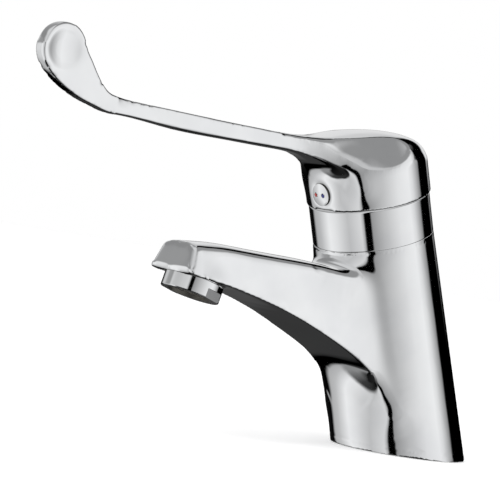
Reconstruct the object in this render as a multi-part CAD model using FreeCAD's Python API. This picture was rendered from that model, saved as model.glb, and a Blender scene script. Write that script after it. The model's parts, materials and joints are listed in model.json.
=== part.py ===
import FreeCAD, Part
import math
import os
from FreeCAD import Vector

# Thermostatic basin mixer with a long paddle lever, one tap hole, sequential control.
# Millimetres. The origin is the centre of the base on the basin, +Z up, the spout
# points to -Y, where the user stands, and +X is the user's right. The column, its
# ring, the cartridge and the lever cap share one axis that leans forward. Sizes named
# "at" are heights along that axis, measured from the origin.

# Leaning column
LEAN = 21.0
COLUMN_BASE_R = 30.0
COLUMN_TOP_R = 27.15
COLUMN_TOP_AT = 102.6
BASE_EDGE_R = 1.5

# Spout
SPOUT_TIP_Y = -151.2
SPOUT_TIP_Z = 69.2
SPOUT_TIP_HALF = 13.9
SPOUT_TIP_RISE = 11.4
SPOUT_TIP_SLANT = 3.2
SPOUT_TOP_Z = 80.6
SPOUT_TOP_NARROWING = 2.5
SPOUT_EDGE_R = 3.0
TIP_EDGE_R = 1.5
JUNCTION_R = 4.0

# Ring and lever cap
RING_HEIGHT = 18.1
RING_WALL = 2.6
SEAM = 0.3
CAP_OVERHANG = 0.7
CAP_WALL = 2.6
CAP_HOLLOW = 12.0
HUB_R = 8.5
HUB_DROP = 4.0
CAP_RIM_R = 12.0
CAP_TALLEST = 40.0
RIM_SPARE = 0.03
RIM_ROUND_BEHIND = -62.0

# Lever arm and paddle
ARM_FROM = -195.0
ARM_END_LOW_Z = 128.8
ARM_END_TOP_Z = 136.4
ARM_BELLY = 0.8
ARM_HALF = 3.6
PADDLE_HALF = 3.1
PADDLE_HEAD_R = 11.0
PADDLE_Y = -225.3
PADDLE_Z = 151.3
DISH_R = 9.05
DISH_DEPTH = 1.5
PADDLE_EDGE_R = 0.9

# Index button and lever screw
BUTTON_ABOVE_CAP_EDGE = 7.6
BUTTON_R = 5.1
BUTTON_STANDS_OUT = 1.3
BUTTON_STEM_R = 3.0
BUTTON_STEM_LENGTH = 3.5
DOT_R = 0.85
DOT_HALF_SPACING = 2.3
DOT_THICK = 0.6
SCREW_R = 2.5
SCREW_HEX = 2.5
SCREW_HEX_DEPTH = 2.2

# Cartridge bore and nut
BORE_FLOOR_AT = 52.0
BORE_R = 20.5
NUT_THREAD_OVER_BORE = 0.5
NUT_THREAD_DEPTH = 12.0
NUT_FLANGE_ROOM = 0.55
NUT_FLANGE_THICK = 3.0
NUT_SLOT_WIDTH = 5.0
NUT_SLOT_DEPTH = 2.4
RING_LIP_THICK = 2.0
RUNNING = 0.1
FIT_GAP = 0.05

# Cartridge
HOUSING_ROOM = 0.7
HOUSING_WALL = 3.2
HOUSING_SHOULDER_AT = 98.0
HOUSING_ROOF = 3.5
NECK_R = 14.8
NECK_LENGTH = 14.0
PLATE_THICK = 3.4
INLET_R = 3.5
INLET_X = 10.5
INLET_Q = 5.0
DISC_THICK = 3.0
OUTER_RING_WIRE = 0.9
OUTER_RING_AT = 66.0
SPINDLE_R = 5.0
SPINDLE_FOOT_R = 14.0
SPINDLE_FOOT_THICK = 3.0
SPINDLE_SQUARE = 8.0
SPINDLE_SQUARE_LENGTH = 15.5
SPINDLE_THREAD_R = 4.0
SPINDLE_THREAD_LENGTH = 5.5
SPINDLE_SEAL_WIRE = 0.5
STOP_RING_R = 13.0
STOP_RING_THICK = 2.6
STOP_TAB = 3.0
CARRIER_WALL = 1.5
CARRIER_LIP = 1.5
CARRIER_WINDOW = 8.0
NUT_BODY_R = 8.5
NUT_BODY_HEIGHT = 7.5
NUT_FLOOR = 1.5
WAX_R = 5.0
WAX_LENGTH = 12.0
WAX_FLANGE_R = 6.5
WAX_FLANGE_THICK = 1.5
WAX_PIN_R = 1.6
WAX_PIN_LENGTH = 2.5
WAX_TAIL_SIDE = 4.0
WAX_TAIL_LENGTH = 9.5
SHUTTLE_HEIGHT = 8.0
SHUTTLE_WALL = 2.2
SHUTTLE_SPOKE = 2.4
RETURN_SPRING_R = 11.0
RETURN_SPRING_WIRE = 1.3
RETURN_SPRING_TURNS = 3
RETURN_SPRING_HEIGHT = 7.0

# Inlet ports, check valves and stud hole in the base
PORT_X = 12.5
PORT_Y = -7.0
PORT_R = 7.6
PORT_DEPTH = 11.0
VALVE_BORE_R = 6.9
VALVE_BORE_TOP = 36.0
FILTER_THICK = 2.6
FILTER_BAR = 0.9
VALVE_LENGTH = 18.0
VALVE_WALL = 1.6
VALVE_SEAT_R = 3.2
VALVE_SEAT_THICK = 2.0
POPPET_R = 4.6
POPPET_HEAD = 2.0
STEM_R = 1.2
STEM_LENGTH = 10.0
GUIDE_AT = 12.0
GUIDE_THICK = 2.0
VALVE_SPRING_R = 2.4
VALVE_SPRING_WIRE = 0.6
VALVE_SPRING_TURNS = 4
STUD_HOLE_R = 3.4
STUD_HOLE_DEPTH = 18.0
STUD_Y = 12.0
SEAL_FROM_EDGE = 6.0
SEAL_WIDTH = 2.4
SEAL_THICK = 2.0

# Aerator in the spout tip
AERATOR_Y = -138.3
AERATOR_Z = 59.4
AERATOR_TILT = 14.0
AERATOR_R = 13.0
AERATOR_COLLAR = 7.0
AERATOR_FLATS = 24.0
AERATOR_FLAT_HEIGHT = 4.0
AERATOR_FLAT_TURN = 14.0
AERATOR_THREAD_R = 11.7
AERATOR_THREAD_LENGTH = 6.0
AERATOR_BORE_R = 10.3
AERATOR_LIP_R = 9.6
AERATOR_LIP = 1.6
CAGE_HEIGHT = 8.0
CAGE_WALL = 1.2
CAGE_BAR = 0.8
SCREEN_THICK = 0.5
GASKET_THICK = 1.6
CHANNEL_R = 5.5
CHANNEL_INNER_Z = 66.0
CHANNEL_OUTER_Z = 72.5

UP = Vector(0, 0, 1)
ORIGIN = Vector(0, 0, 0)

# Radii that follow from the sizes above
CAP_R = COLUMN_TOP_R + CAP_OVERHANG
NUT_THREAD_R = BORE_R + NUT_THREAD_OVER_BORE
NUT_FLANGE_R = COLUMN_TOP_R - RING_WALL - NUT_FLANGE_ROOM
HOUSING_R = BORE_R - HOUSING_ROOM
HOUSING_BORE_R = HOUSING_R - HOUSING_WALL
SEAL_INNER_R = COLUMN_BASE_R - SEAL_FROM_EDGE

# Heights along the leaning axis that follow from the sizes above
RING_FROM = COLUMN_TOP_AT
RING_TO = RING_FROM + RING_HEIGHT
CAP_FROM = RING_TO + SEAM
CAP_HOLLOW_TO = CAP_FROM + CAP_HOLLOW
NECK_TOP = HOUSING_SHOULDER_AT + NECK_LENGTH
HOUSING_FROM = BORE_FLOOR_AT + 0.6
PLATE_TO = HOUSING_FROM + PLATE_THICK
FIXED_DISC_TO = PLATE_TO + DISC_THICK
MOVING_DISC_TO = FIXED_DISC_TO + FIT_GAP + DISC_THICK
HOUSING_BORE_TO = HOUSING_SHOULDER_AT - HOUSING_ROOF
FOOT_TO = HOUSING_BORE_TO - RUNNING
FOOT_FROM = FOOT_TO - SPINDLE_FOOT_THICK
CARRIER_R = HOUSING_BORE_R - 0.3
SPRING_FROM = MOVING_DISC_TO + CARRIER_LIP
SHUTTLE_FROM = SPRING_FROM + RETURN_SPRING_HEIGHT
SHUTTLE_TO = SHUTTLE_FROM + SHUTTLE_HEIGHT
WAX_FLANGE_TO = SHUTTLE_TO + WAX_FLANGE_THICK
REGULATOR_FROM = WAX_FLANGE_TO + WAX_PIN_LENGTH
REGULATOR_TO = REGULATOR_FROM + NUT_BODY_HEIGHT
BUTTON_AT = CAP_FROM + BUTTON_ABOVE_CAP_EDGE
SHUTTLE_R = CARRIER_R - CARRIER_WALL - 0.3
VALVE_FROM = PORT_DEPTH + FILTER_THICK
VALVE_R = VALVE_BORE_R - RUNNING


def lean(shape):
    """Turns a shape built upright about +Z onto the leaning axis."""
    shape = shape.copy()
    shape.rotate(ORIGIN, Vector(1, 0, 0), LEAN)
    return shape


def on_axis(q, at):
    """World Y and Z of a point q behind the leaning axis, at a height along it."""
    a = math.radians(LEAN)
    return q * math.cos(a) - at * math.sin(a), q * math.sin(a) + at * math.cos(a)


def rod(radius, low, high, x=0.0, y=0.0):
    return Part.makeCylinder(radius, high - low, Vector(x, y, low), UP)


def tube(outer, inner, low, high, x=0.0, y=0.0):
    return rod(outer, low, high, x, y).cut(rod(inner, low - 1, high + 1, x, y))


def block(width, depth, low, high, x=0.0, y=0.0):
    corner = Vector(x - width / 2, y - depth / 2, low)
    return Part.makeBox(width, depth, high - low, corner)


def aerator_frame(shape):
    """Places a shape built about +Z on the aerator's tilted axis."""
    shape = shape.copy()
    shape.rotate(ORIGIN, Vector(1, 0, 0), -AERATOR_TILT)
    shape.translate(Vector(0, AERATOR_Y, AERATOR_Z))
    return shape


def ring_of(radius, wire, at):
    """A rubber ring: a six-sided wire section turned about +Z."""
    corners = [hexagon_point(Vector(radius, 0, at), wire, k) for k in range(7)]
    return Part.Face(Part.makePolygon(corners)).revolve(ORIGIN, UP, 360)


def coil(radius, wire, turns, low, high, x=0.0, y=0.0):
    """A compression spring: a six-sided wire section swept along a helix."""
    height = high - low - 2 * wire
    helix = Part.makeHelix(height / turns, height, radius)
    corners = [hexagon_point(Vector(radius, 0, 0), wire, k) for k in range(7)]
    spring = helix.makePipeShell([Part.makePolygon(corners)], True, True)
    spring.translate(Vector(x, y, low + wire))
    return spring


def hexagon_point(centre, reach, k):
    a = k * math.pi / 3
    return centre + Vector(reach * math.cos(a), 0, reach * math.sin(a))


def section(low_point, high_point, belly, crown):
    """A four-sided section across X: a bowed belly, two straight sides, a bowed crown."""
    half_low, y_low, z_low = low_point
    half_high, y_high, z_high = high_point
    rise = Vector(0, y_high - y_low, z_high - z_low)
    rise.normalize()
    low_pull = Vector(0, y_low, z_low) - rise * 2 * belly
    high_pull = Vector(0, y_high, z_high) + rise * 2 * crown
    low_left, low_right = Vector(-half_low, y_low, z_low), Vector(half_low, y_low, z_low)
    high_left, high_right = Vector(-half_high, y_high, z_high), Vector(half_high, y_high, z_high)
    return Part.Wire([
        bow(low_left, low_pull, low_right),
        Part.LineSegment(low_right, high_right).toShape(),
        bow(high_right, high_pull, high_left),
        Part.LineSegment(high_left, low_left).toShape(),
    ])


def bow(start, pull, end):
    """A shallow curve from start to end, drawn towards a pull point."""
    curve = Part.BezierCurve()
    curve.setPoles([start, pull, end])
    return curve.toShape()


def spout_horn():
    """The spout from its tip back into the column, through fanned sections.

    Each section is (half width, Y, Z) on the lower edge, the same on the upper edge,
    and how far the underside and the top bulge between those edges."""
    tip, low, half = SPOUT_TIP_Y, SPOUT_TIP_Z, SPOUT_TIP_HALF
    top = SPOUT_TOP_Z
    narrow = half - SPOUT_TOP_NARROWING
    stations = [
        ((half, tip, low), (narrow, tip + SPOUT_TIP_SLANT, low + SPOUT_TIP_RISE), 0.6, 1.2),
        ((half + 0.6, tip + 16.7, low - 2.8), (narrow + 0.4, tip + 18.2, top + 0.1), 0.3, 1.8),
        ((half + 1.4, tip + 34.0, low - 6.0), (narrow + 0.7, tip + 34.2, top - 0.3), 0.3, 1.8),
        ((half + 2.3, tip + 49.2, low - 9.6), (narrow + 1.1, tip + 50.2, top - 0.7), 0.3, 1.6),
        ((half + 3.0, tip + 64.2, low - 14.0), (narrow + 1.6, tip + 64.2, top - 1.0), 0.4, 1.5),
        ((half + 4.1, tip + 79.6, low - 19.6), (narrow + 2.6, tip + 77.2, top - 1.6), 0.6, 1.4),
        ((half + 4.4, tip + 94.2, low - 25.5), (narrow + 5.1, tip + 91.2, top - 3.1), 1.0, 1.0),
        ((half + 5.1, tip + 108.6, low - 33.5), (narrow + 7.6, tip + 111.2, top - 8.6), 2.0, 0.5),
        ((half + 7.1, tip + 118.2, low - 43.2), (narrow + 7.6, tip + 122.2, top - 14.6), 4.0, 0.5),
        ((half + 6.1, tip + 128.2, low - 57.2), (narrow + 7.6, tip + 135.2, top - 20.6), 4.0, 0.5),
    ]
    horn = Part.makeLoft([section(*station) for station in stations], True, False)
    upper = [edge for edge in horn.Edges
             if edge.BoundBox.YLength > 60 and edge.BoundBox.ZMin > low - 13]
    horn = horn.makeFillet(SPOUT_EDGE_R, upper)
    front = [edge for edge in horn.Edges if edge.BoundBox.YMax < tip + 5.7]
    return horn.makeFillet(TIP_EDGE_R, front)


def outer_body():
    """Leaning column, flat on the basin, with the spout blended into its front."""
    below = COLUMN_BASE_R
    drop = (COLUMN_BASE_R - COLUMN_TOP_R) / COLUMN_TOP_AT
    column = Part.makeCone(COLUMN_BASE_R + drop * below, COLUMN_TOP_R, COLUMN_TOP_AT + below,
                           Vector(0, 0, -below), UP)
    reach = 2 * COLUMN_TOP_AT
    basin = Part.makeBox(2 * reach, 2 * reach, reach, Vector(-reach, -reach, -reach))
    column = lean(column).cut(basin)
    body = column.fuse(spout_horn())
    joint = [edge for edge in body.Edges
             if edge.Curve.TypeId == "Part::GeomBSplineCurve"
             and edge.BoundBox.YMin > SPOUT_TIP_Y + 89 and edge.BoundBox.YLength < 40
             and (edge.BoundBox.ZMin > SPOUT_TIP_Z or edge.BoundBox.ZLength > 20)]
    body = body.makeFillet(JUNCTION_R, joint)
    foot = [edge for edge in body.Edges if edge.BoundBox.ZMax < 0.01]
    return body.makeFillet(BASE_EDGE_R, foot)


def mixed_water_channel():
    """The drilled way from the cartridge bore along the spout to the aerator seat."""
    start = Vector(0, on_axis(0, BORE_FLOOR_AT + 14)[0], CHANNEL_INNER_Z)
    end = Vector(0, AERATOR_Y, CHANNEL_OUTER_Z)
    run = end - start
    return Part.makeCylinder(CHANNEL_R, run.Length, start, run)


def body_casting():
    body = outer_body()
    body = body.cut(lean(rod(BORE_R, BORE_FLOOR_AT, COLUMN_TOP_AT + 5)))
    body = body.cut(lean(rod(NUT_THREAD_R, COLUMN_TOP_AT - NUT_THREAD_DEPTH, COLUMN_TOP_AT + 5)))
    body = body.cut(mixed_water_channel())
    seat_top = AERATOR_COLLAR + AERATOR_THREAD_LENGTH + GASKET_THICK
    boss = rod(AERATOR_R - 0.1, AERATOR_COLLAR, AERATOR_COLLAR + 4)
    body = body.fuse(aerator_frame(boss))
    body = body.cut(aerator_frame(rod(AERATOR_R + 0.3, -5, AERATOR_COLLAR)))
    body = body.cut(aerator_frame(rod(AERATOR_THREAD_R + RUNNING, AERATOR_COLLAR - 1, seat_top)))
    for side in (-1, 1):
        body = body.cut(rod(PORT_R, -1, PORT_DEPTH, side * PORT_X, PORT_Y))
        body = body.cut(rod(VALVE_BORE_R, 0, VALVE_BORE_TOP, side * PORT_X, PORT_Y))
        feed = rod(INLET_R, BORE_FLOOR_AT - 17, BORE_FLOOR_AT + 1, side * INLET_X, INLET_Q)
        body = body.cut(lean(feed))
    body = body.cut(rod(STUD_HOLE_R, -1, STUD_HOLE_DEPTH, 0, STUD_Y))
    return body.cut(tube(SEAL_INNER_R + SEAL_WIDTH, SEAL_INNER_R, -SEAL_THICK, SEAL_THICK))


def base_seal():
    return tube(SEAL_INNER_R + SEAL_WIDTH - RUNNING, SEAL_INNER_R + RUNNING, 0, SEAL_THICK)


def trim_ring():
    """The plain chromed ring between the column and the lever cap."""
    wall = tube(COLUMN_TOP_R, COLUMN_TOP_R - RING_WALL, RING_FROM, RING_TO)
    lip = tube(COLUMN_TOP_R - 1, NUT_THREAD_R + RUNNING, RING_FROM, RING_FROM + RING_LIP_THICK)
    return lean(wall.fuse(lip).removeSplitter())


def cartridge_nut():
    """Threaded ring that clamps the cartridge and the trim ring, with spanner slots."""
    seat = RING_FROM + RING_LIP_THICK
    nut = rod(NUT_THREAD_R - FIT_GAP, HOUSING_SHOULDER_AT, seat)
    nut = nut.fuse(rod(NUT_FLANGE_R, seat, seat + NUT_FLANGE_THICK)).removeSplitter()
    nut = nut.cut(rod(NECK_R + RUNNING, HOUSING_SHOULDER_AT - 1, seat + NUT_FLANGE_THICK + 1))
    for turn in range(6):
        slot = block(NUT_SLOT_WIDTH, 2 * NUT_SLOT_DEPTH, seat - 0.01, seat + NUT_FLANGE_THICK + 1,
                     0, NUT_FLANGE_R)
        slot.rotate(ORIGIN, UP, 60 * turn)
        nut = nut.cut(slot)
    return lean(nut)


def cartridge_housing():
    housing = rod(HOUSING_R, HOUSING_FROM, HOUSING_SHOULDER_AT)
    housing = housing.fuse(rod(NECK_R, HOUSING_SHOULDER_AT - 1, NECK_TOP)).removeSplitter()
    housing = housing.cut(rod(HOUSING_BORE_R, HOUSING_FROM - 1, HOUSING_BORE_TO))
    housing = housing.cut(rod(SPINDLE_R + RUNNING, HOUSING_BORE_TO - 1, NECK_TOP + 1))
    groove_floor = BORE_R - 2 * OUTER_RING_WIRE
    housing = housing.cut(tube(HOUSING_R + 1, groove_floor, OUTER_RING_AT - OUTER_RING_WIRE - 0.1,
                               OUTER_RING_AT + OUTER_RING_WIRE + 0.1))
    for turn in range(4):
        window = block(CARRIER_WINDOW, HOUSING_R, SHUTTLE_TO, SHUTTLE_TO + CARRIER_WINDOW,
                       0, -HOUSING_R)
        window.rotate(ORIGIN, UP, 90 * turn)
        housing = housing.cut(window)
    return lean(housing)


def housing_seal():
    return lean(ring_of(BORE_R - OUTER_RING_WIRE, OUTER_RING_WIRE, OUTER_RING_AT))


def cartridge_plate():
    """The cartridge's bottom plate with a hot and a cold inlet."""
    plate = rod(HOUSING_BORE_R - FIT_GAP, HOUSING_FROM, PLATE_TO)
    for side in (-1, 1):
        plate = plate.cut(rod(INLET_R, HOUSING_FROM - 1, PLATE_TO + 1, side * INLET_X, INLET_Q))
        plate = plate.cut(rod(INLET_R + 1.5, HOUSING_FROM - 1, HOUSING_FROM + 1,
                              side * INLET_X, INLET_Q))
    return lean(plate.cut(tail_hole(HOUSING_FROM, PLATE_TO)))


def tail_hole(low, high):
    side = WAX_TAIL_SIDE + 2 * RUNNING
    return block(side, side, low - 1, high + 1)


def inlet_seals():
    """Two rubber rings under the plate, one for each inlet."""
    rings = [tube(INLET_R + 1.4, INLET_R, BORE_FLOOR_AT, HOUSING_FROM + 1, side * INLET_X, INLET_Q)
             for side in (-1, 1)]
    return lean(Part.makeCompound(rings))


def fixed_disc():
    disc = rod(HOUSING_BORE_R - RUNNING, PLATE_TO, FIXED_DISC_TO)
    for side in (-1, 1):
        disc = disc.cut(rod(INLET_R, PLATE_TO - 1, FIXED_DISC_TO + 1, side * INLET_X, INLET_Q))
    return lean(disc.cut(tail_hole(PLATE_TO, FIXED_DISC_TO)))


def moving_disc():
    """The turning disc, with two curved ports that open the inlets one after the other."""
    low = FIXED_DISC_TO + FIT_GAP
    disc = rod(CARRIER_R, low, MOVING_DISC_TO).cut(rod(WAX_R - 0.5, low - 1, MOVING_DISC_TO + 1))
    for side in (-1, 1):
        for step in range(3):
            port = rod(INLET_R - 0.5, low - 1, MOVING_DISC_TO + 1, side * INLET_X, INLET_Q)
            port.rotate(ORIGIN, UP, -12 * step)
            disc = disc.cut(port)
    return lean(disc)


def disc_carrier():
    """Sleeve that turns the moving disc with the spindle and guides the shuttle."""
    sleeve = tube(CARRIER_R, CARRIER_R - CARRIER_WALL, MOVING_DISC_TO, FOOT_FROM)
    lip = tube(CARRIER_R - 0.5, RETURN_SPRING_R - 2.5, MOVING_DISC_TO, SPRING_FROM)
    sleeve = sleeve.fuse(lip).removeSplitter()
    for turn in range(4):
        window = block(CARRIER_WINDOW, CARRIER_R, SHUTTLE_TO, SHUTTLE_TO + CARRIER_WINDOW,
                       0, -CARRIER_R)
        window.rotate(ORIGIN, UP, 90 * turn)
        sleeve = sleeve.cut(window)
    return lean(sleeve)


def spindle():
    """Stem with a foot that drives the carrier, an inner thread stub and a square head."""
    top = CAP_HOLLOW_TO - 1
    stem = rod(SPINDLE_R, FOOT_FROM, top - SPINDLE_SQUARE_LENGTH)
    stem = stem.fuse(rod(SPINDLE_FOOT_R, FOOT_FROM, FOOT_TO))
    stem = stem.fuse(rod(SPINDLE_THREAD_R, FOOT_FROM - SPINDLE_THREAD_LENGTH, FOOT_FROM + 1))
    square = block(SPINDLE_SQUARE, SPINDLE_SQUARE, top - SPINDLE_SQUARE_LENGTH - 1, top)
    stem = stem.fuse(square).removeSplitter()
    groove = tube(SPINDLE_R + 1, SPINDLE_R + RUNNING - 2 * SPINDLE_SEAL_WIRE,
                  spindle_seal_at() - SPINDLE_SEAL_WIRE, spindle_seal_at() + SPINDLE_SEAL_WIRE)
    return lean(stem.cut(groove))


def spindle_seal_at():
    return HOUSING_SHOULDER_AT + NECK_LENGTH / 2


def spindle_seal():
    wire = SPINDLE_SEAL_WIRE - 0.01
    return lean(ring_of(SPINDLE_R + RUNNING - SPINDLE_SEAL_WIRE, wire, spindle_seal_at()))


def temperature_stop():
    """Scald stop: a ring with one tab, seated on the cartridge neck."""
    ring = tube(STOP_RING_R, SPINDLE_SQUARE * 0.75, NECK_TOP, NECK_TOP + STOP_RING_THICK)
    tab = block(STOP_TAB, STOP_TAB, NECK_TOP, NECK_TOP + STOP_RING_THICK, 0, STOP_RING_R)
    return lean(ring.fuse(tab).removeSplitter())


def regulating_nut():
    """Nut on the spindle's thread that pushes the wax element's pin up and down."""
    nut = rod(NUT_BODY_R, REGULATOR_FROM, REGULATOR_TO)
    nut = nut.cut(rod(SPINDLE_THREAD_R + FIT_GAP, REGULATOR_FROM + NUT_FLOOR, REGULATOR_TO + 1))
    return lean(nut)


def wax_element():
    low = WAX_FLANGE_TO - WAX_FLANGE_THICK - WAX_LENGTH
    wax = rod(WAX_R, low, WAX_FLANGE_TO - WAX_FLANGE_THICK)
    wax = wax.fuse(rod(WAX_FLANGE_R, SHUTTLE_TO, WAX_FLANGE_TO))
    wax = wax.fuse(rod(WAX_PIN_R, WAX_FLANGE_TO - 0.5, REGULATOR_FROM))
    tail = block(WAX_TAIL_SIDE, WAX_TAIL_SIDE, low - WAX_TAIL_LENGTH, low + 0.5)
    return lean(wax.fuse(tail).removeSplitter())


def shuttle():
    """The valve ring round the wax element, held to its hub by four spokes."""
    ring = tube(SHUTTLE_R, SHUTTLE_R - SHUTTLE_WALL, SHUTTLE_FROM, SHUTTLE_TO)
    hub = rod(WAX_R + 1.8, SHUTTLE_FROM, SHUTTLE_TO)
    spokes = block(2 * SHUTTLE_R - 1, SHUTTLE_SPOKE, SHUTTLE_FROM + 2, SHUTTLE_TO)
    spokes = spokes.fuse(block(SHUTTLE_SPOKE, 2 * SHUTTLE_R - 1, SHUTTLE_FROM + 2, SHUTTLE_TO))
    shape = ring.fuse([hub, spokes]).removeSplitter()
    return lean(shape.cut(rod(WAX_R, SHUTTLE_FROM - 1, SHUTTLE_TO + 1)))


def return_spring():
    return lean(coil(RETURN_SPRING_R, RETURN_SPRING_WIRE / 2, RETURN_SPRING_TURNS,
                     SPRING_FROM, SHUTTLE_FROM))


def above_the_lever():
    """Everything above the crowned top of the lever cap and arm, as a cutter.

    Each station is the crest's Y and Z, how far the top drops towards the sides, and
    the half width over which it drops."""
    wide = CAP_R + 3
    stations = [(-216.0, 138.0, 0.3, wide / 2.2), (-180.0, 135.5, 0.4, wide / 2.2),
                (-150.0, 134.7, 0.8, wide / 2.2), (-122.0, 134.2, 1.5, wide / 2.2),
                (-104.0, 134.0, 2.4, wide / 2.2), (-90.0, 134.4, 2.6, wide / 2.1),
                (-76.0, 136.3, 2.6, wide / 1.4), (-62.0, 139.5, 3.2, wide / 1.1),
                (-51.0, 141.8, 4.4, wide), (-42.0, 142.8, 6.5, wide),
                (-34.0, 142.5, 9.0, wide), (-26.0, 140.6, 11.0, wide),
                (-18.0, 137.0, 12.5, wide), (-10.0, 132.0, 13.5, wide)]
    return Part.makeLoft([arch(*station) for station in stations], True, False, False, 3)


def arch(y, crest, drop, half):
    """A closed upright wire across X: an arc over the crest and straight sides above it."""
    top = crest + CAP_R
    left, right = Vector(-half, y, crest - drop), Vector(half, y, crest - drop)
    return Part.Wire([
        Part.Arc(left, Vector(0, y, crest), right).toShape(),
        Part.makePolygon([right, Vector(half, y, top), Vector(-half, y, top), left]),
    ])


def beside_the_arm(side):
    """The wedge cut away where the arm's flank runs on over the side of the cap.

    Each station is Y, then half width and height at the crease and near the cap's side."""
    stations = [(-100.0, (11.0, 140.0), (11.0, 120.0)), (-92.0, (8.3, 136.0), (9.6, 122.0)),
                (-86.0, (8.2, 135.6), (9.8, 132.0)), (-78.0, (10.0, 135.9), (13.1, 129.3)),
                (-70.0, (12.9, 137.2), (18.3, 126.0)), (-62.0, (15.6, 138.1), (24.8, 124.3)),
                (-54.0, (19.0, 138.5), (28.2, 127.0)), (-48.0, (24.2, 137.6), (30.0, 130.0)),
                (-42.0, (30.5, 138.0), (31.5, 134.0))]
    wires = []
    for y, crease, foot in stations:
        run = Vector(side * crease[0], y, crease[1]) - Vector(side * foot[0], y, foot[1])
        run.normalize()
        inner_top = Vector(side * crease[0], y, crease[1]) + run * CAP_R / 2
        inner_low = Vector(side * foot[0], y, foot[1]) - run * CAP_R / 5
        far = side * 1.6 * CAP_R
        outer_low, outer_top = Vector(far, y, inner_low.z), Vector(far, y, inner_top.z)
        wires.append(Part.makePolygon([inner_top, inner_low, outer_low, outer_top, inner_top]))
    return Part.makeLoft(wires, True, False, False, 3)


def lever_arm():
    """The arm, flaring back into the cap. It stands a little too tall for its top.

    The sections fan round at the cap, so that the arm's lower edge turns down its side."""
    end_low = ARM_END_LOW_Z + ARM_BELLY
    stations = [
        ((PADDLE_HALF, ARM_FROM, end_low), (PADDLE_HALF, ARM_FROM, 141.0), ARM_BELLY, 0.1),
        ((ARM_HALF - 0.2, -170.0, 128.5), (ARM_HALF - 0.2, -170.0, 141.0), 1.0, 0.1),
        ((ARM_HALF + 0.5, -137.0, 127.6), (ARM_HALF + 0.5, -137.0, 141.0), 1.1, 0.1),
        ((ARM_HALF + 1.25, -115.0, 127.5), (ARM_HALF + 1.25, -115.0, 141.0), 1.1, 0.1),
        ((ARM_HALF + 1.5, -105.0, 127.4), (ARM_HALF + 2.2, -106.0, 141.0), 1.0, 0.1),
        ((ARM_HALF + 2.8, -92.5, 126.6), (ARM_HALF + 4.0, -96.0, 143.0), 0.8, 0.1),
        ((ARM_HALF + 5.2, -85.4, 125.2), (ARM_HALF + 6.7, -90.0, 146.0), 0.8, 0.1),
        ((ARM_HALF + 8.6, -78.6, 123.4), (ARM_HALF + 9.8, -84.5, 150.0), 0.9, 0.1),
        ((ARM_HALF + 11.6, -74.1, 122.5), (ARM_HALF + 13.0, -77.5, 153.0), 1.8, 0.1),
        ((ARM_HALF + 13.9, -70.3, 120.3), (ARM_HALF + 16.4, -68.0, 153.0), 3.2, 0.1),
        ((ARM_HALF + 15.05, -67.6, 117.6), (ARM_HALF + 19.4, -55.0, 150.0), 5.0, 0.1),
        ((ARM_HALF + 15.6, -64.4, 112.6), (ARM_HALF + 20.9, -44.0, 140.0), 6.5, 0.1),
    ]
    return Part.makeLoft([section(*station) for station in stations], True, False, False, 3)


def rounded_cap_room(crown):
    """The room inside the cap's rounded back rim, open towards the arm."""
    raised = crown.copy()
    raised.translate(Vector(0, 0, RIM_SPARE))
    blank = lean(rod(CAP_R + RIM_SPARE, CAP_FROM - 5, CAP_FROM + CAP_TALLEST)).cut(raised)
    rim = [edge for edge in blank.Edges
           if edge.Length > 2 * CAP_R and edge.BoundBox.ZMin > CAP_FROM + 5]
    rounded = blank.makeFillet(CAP_RIM_R, rim)
    deep = 8 * CAP_R
    front = block(4 * CAP_R, deep, 0, deep, 0, RIM_ROUND_BEHIND - deep / 2)
    return rounded.fuse(front)


def cap_and_arm():
    """The cap with its crowned top, side wedges and arm, and the rounding on each."""
    shape = lean(rod(CAP_R, CAP_FROM, CAP_FROM + CAP_TALLEST)).fuse(lever_arm())
    for side in (-1, 1):
        shape = shape.cut(beside_the_arm(side))
    crown = above_the_lever()
    shape = shape.cut(crown).common(rounded_cap_room(crown))
    top_edges = [edge for edge in shape.Edges
                 if edge.BoundBox.YMin < ARM_FROM + 1 and edge.Length > 2 * CAP_R
                 and edge.BoundBox.ZMin > ARM_END_LOW_Z]
    return shape.makeFillet(PADDLE_EDGE_R, top_edges)


def paddle():
    """The upright plate at the arm's end, dished on both sides for a hand or an elbow."""
    def on_head(degrees):
        a = math.radians(degrees)
        return Vector(0, PADDLE_Y + PADDLE_HEAD_R * math.cos(a),
                      PADDLE_Z + PADDLE_HEAD_R * math.sin(a))

    def along_head(degrees):
        a = math.radians(degrees)
        return Vector(0, -math.sin(a), math.cos(a))

    arm_low, arm_high = Vector(0, ARM_FROM, ARM_END_LOW_Z), Vector(0, ARM_FROM, ARM_END_TOP_Z)
    front = [on_head(222), Vector(0, -229.0, 139.9), Vector(0, -224.2, 137.0),
             Vector(0, -217.3, 133.9), Vector(0, -211.4, 132.0), Vector(0, -205.5, 130.6), arm_low]
    back = [arm_high, Vector(0, -198.8, 137.2), Vector(0, -203.0, 140.0),
            Vector(0, -207.1, 144.4), Vector(0, -211.4, 149.9), on_head(24)]
    face = Part.Face(Part.Wire([
        Part.Arc(on_head(24), on_head(120), on_head(222)).toShape(),
        smooth(front, along_head(222), Vector(0, 1.0, -0.07)),
        Part.LineSegment(arm_low, arm_high).toShape(),
        smooth(back, Vector(0, -1.0, 0.12), along_head(24)),
    ]))
    face.translate(Vector(-PADDLE_HALF, 0, 0))
    plate = face.extrude(Vector(2 * PADDLE_HALF, 0, 0))
    outline = [edge for edge in plate.Edges if edge.BoundBox.XLength < 0.01 and edge.Length > 10]
    plate = plate.makeFillet(PADDLE_EDGE_R, outline)
    ball = (DISH_R ** 2 + DISH_DEPTH ** 2) / (2 * DISH_DEPTH)
    for side in (-1, 1):
        x = side * (PADDLE_HALF - DISH_DEPTH + ball)
        plate = plate.cut(Part.makeSphere(ball, Vector(x, PADDLE_Y, PADDLE_Z)))
    return plate


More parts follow.
